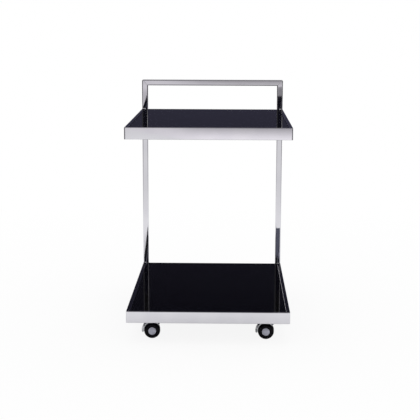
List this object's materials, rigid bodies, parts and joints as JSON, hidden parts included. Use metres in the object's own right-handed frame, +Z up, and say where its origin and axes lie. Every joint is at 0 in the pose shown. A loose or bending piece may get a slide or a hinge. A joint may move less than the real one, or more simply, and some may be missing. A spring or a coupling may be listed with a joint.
{
  "type": "serving cart",
  "caption": "Two-tier serving cart on swivel casters: a polished steel inverted-U rear frame and handle carries cantilevered trays with inset black glass.",
  "frame": {"origin": "on the floor under the middle of the cart", "axes": "+X across the cart, +Y towards the handle end, +Z up"},
  "size_m": [0.5, 0.7, 0.765],
  "materials": {
    "polished_steel": "mirror-polished stainless steel tube",
    "black_glass": "black tempered glass, polished",
    "chrome_hood": "bright chrome plate on die-cast zinc",
    "black_nylon": "moulded black nylon, low gloss",
    "grey_cap": "moulded silver-grey plastic",
    "zinc_steel": "zinc-plated steel",
    "clear_silicone": "clear silicone",
    "black_plastic": "moulded black plastic"
  },
  "bodies": {
    "frame": {"caster_nuts": "zinc_steel", "front_caster_bar": "zinc_steel", "front_left_clip": "zinc_steel", "front_left_stem": "zinc_steel", "front_left_washer": "black_plastic", "front_right_clip": "zinc_steel", "front_right_stem": "zinc_steel", "front_right_washer": "black_plastic", "handle_bar": "polished_steel", "left_post": "polished_steel", "lower_front_rail": "polished_steel", "lower_glass": "black_glass", "lower_glass_ledges": "zinc_steel", "lower_glass_pads": "clear_silicone", "lower_left_rail": "polished_steel", "lower_rear_rail": "polished_steel", "lower_right_rail": "polished_steel", "post_plugs": "black_plastic", "rear_caster_bar": "zinc_steel", "rear_left_clip": "zinc_steel", "rear_left_stem": "zinc_steel", "rear_left_washer": "black_plastic", "rear_right_clip": "zinc_steel", "rear_right_stem": "zinc_steel", "rear_right_washer": "black_plastic", "right_post": "polished_steel", "upper_front_rail": "polished_steel", "upper_glass": "black_glass", "upper_glass_ledges": "zinc_steel", "upper_glass_pads": "clear_silicone", "upper_left_rail": "polished_steel", "upper_rear_rail": "polished_steel", "upper_right_rail": "polished_steel"},
    "front_left_caster": {"front_left_hood": "chrome_hood", "front_left_axle": "zinc_steel"},
    "front_left_front_wheel": {"front_left_wheel_front": "black_nylon", "front_left_cap_front": "grey_cap"},
    "front_left_rear_wheel": {"front_left_wheel_rear": "black_nylon", "front_left_cap_rear": "grey_cap"},
    "front_right_caster": {"front_right_hood": "chrome_hood", "front_right_axle": "zinc_steel"},
    "front_right_front_wheel": {"front_right_wheel_front": "black_nylon", "front_right_cap_front": "grey_cap"},
    "front_right_rear_wheel": {"front_right_wheel_rear": "black_nylon", "front_right_cap_rear": "grey_cap"},
    "rear_left_caster": {"rear_left_hood": "chrome_hood", "rear_left_axle": "zinc_steel"},
    "rear_left_front_wheel": {"rear_left_wheel_front": "black_nylon", "rear_left_cap_front": "grey_cap"},
    "rear_left_rear_wheel": {"rear_left_wheel_rear": "black_nylon", "rear_left_cap_rear": "grey_cap"},
    "rear_right_caster": {"rear_right_hood": "chrome_hood", "rear_right_axle": "zinc_steel"},
    "rear_right_front_wheel": {"rear_right_wheel_front": "black_nylon", "rear_right_cap_front": "grey_cap"},
    "rear_right_rear_wheel": {"rear_right_wheel_rear": "black_nylon", "rear_right_cap_rear": "grey_cap"}
  },
  "joints": [
    {"name": "front_left_swivel", "type": "hinge", "parent": "frame", "child": "front_left_caster", "pos_m": [-0.177, -0.277, 0.06], "axis": [0, 0, 1], "continuous": true},
    {"name": "front_left_front_roll", "type": "hinge", "parent": "front_left_caster", "child": "front_left_front_wheel", "pos_m": [-0.175, -0.27686, 0.025], "axis": [-0.0698, 0.9976, 0], "continuous": true},
    {"name": "front_left_rear_roll", "type": "hinge", "parent": "front_left_caster", "child": "front_left_rear_wheel", "pos_m": [-0.175, -0.27686, 0.025], "axis": [-0.0698, 0.9976, 0], "continuous": true},
    {"name": "front_right_swivel", "type": "hinge", "parent": "frame", "child": "front_right_caster", "pos_m": [0.177, -0.277, 0.06], "axis": [0, 0, 1], "continuous": true},
    {"name": "front_right_front_roll", "type": "hinge", "parent": "front_right_caster", "child": "front_right_front_wheel", "pos_m": [0.179, -0.27707, 0.025], "axis": [0.0349, 0.9994, 0], "continuous": true},
    {"name": "front_right_rear_roll", "type": "hinge", "parent": "front_right_caster", "child": "front_right_rear_wheel", "pos_m": [0.179, -0.27707, 0.025], "axis": [0.0349, 0.9994, 0], "continuous": true},
    {"name": "rear_left_swivel", "type": "hinge", "parent": "frame", "child": "rear_left_caster", "pos_m": [-0.177, 0.277, 0.06], "axis": [0, 0, 1], "continuous": true},
    {"name": "rear_left_front_roll", "type": "hinge", "parent": "rear_left_caster", "child": "rear_left_front_wheel", "pos_m": [-0.17502, 0.27731, 0.025], "axis": [-0.1564, 0.9877, 0], "continuous": true},
    {"name": "rear_left_rear_roll", "type": "hinge", "parent": "rear_left_caster", "child": "rear_left_rear_wheel", "pos_m": [-0.17502, 0.27731, 0.025], "axis": [-0.1564, 0.9877, 0], "continuous": true},
    {"name": "rear_right_swivel", "type": "hinge", "parent": "frame", "child": "rear_right_caster", "pos_m": [0.177, 0.277, 0.06], "axis": [0, 0, 1], "continuous": true},
    {"name": "rear_right_front_roll", "type": "hinge", "parent": "rear_right_caster", "child": "rear_right_front_wheel", "pos_m": [0.17899, 0.27679, 0.025], "axis": [0.1045, 0.9945, 0], "continuous": true},
    {"name": "rear_right_rear_roll", "type": "hinge", "parent": "rear_right_caster", "child": "rear_right_rear_wheel", "pos_m": [0.17899, 0.27679, 0.025], "axis": [0.1045, 0.9945, 0], "continuous": true}
  ]
}
